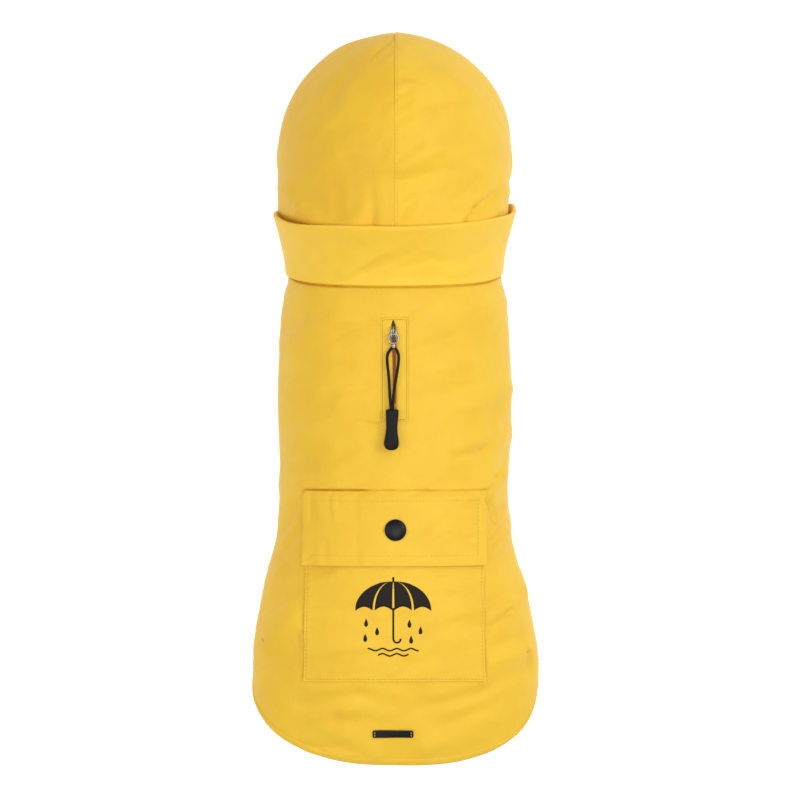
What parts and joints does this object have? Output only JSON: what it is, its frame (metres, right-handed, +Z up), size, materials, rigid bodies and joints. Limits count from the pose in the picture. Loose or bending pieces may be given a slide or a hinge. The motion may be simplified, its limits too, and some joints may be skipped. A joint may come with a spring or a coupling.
{
  "type": "dog raincoat",
  "caption": "Hooded waterproof coat for a small dog, filled out as worn, with a fold-over collar, a zipped leash opening, a flap pocket and a rounded tail.",
  "frame": {"origin": "on the inner face of the back panel, on the centre line, halfway along the coat, where it rests on the wearer's back", "axes": "+Y along the back towards the head, +X to the right seen from above, +Z up, out through the cloth of the back"},
  "size_m": [0.1718, 0.4391, 0.1511],
  "materials": {
    "yellow_cloth": "matt coated woven polyester with a faint sheen",
    "orange_tape": "woven zip tape",
    "silver_metal": "polished nickel plate",
    "black_cord": "braided cord",
    "black_rubber": "moulded, satin",
    "black_metal": "satin black paint",
    "black_plate": "satin"
  },
  "bodies": {
    "coat": {"back_panel": "yellow_cloth", "chest_panel": "yellow_cloth", "collar": "yellow_cloth", "hood_left": "yellow_cloth", "hood_right": "yellow_cloth", "pocket": "yellow_cloth", "pocket_flap": "yellow_cloth", "zip_welt_left": "yellow_cloth", "zip_welt_right": "yellow_cloth", "zip_tape": "orange_tape", "zip_slider": "silver_metal", "snap_cap": "black_metal", "name_plate": "black_plate"},
    "zip_pull": {"pull_ring": "silver_metal", "pull_sleeve": "silver_metal", "pull_cord": "black_cord", "pull_grip": "black_rubber"}
  },
  "joints": [
    {"name": "zip_pull_hinge", "type": "hinge", "parent": "coat", "child": "zip_pull", "pos_m": [-0.0005, 0.0392, 0.00415], "axis": [-1, 0, 0], "range_deg": [0, 150]}
  ]
}
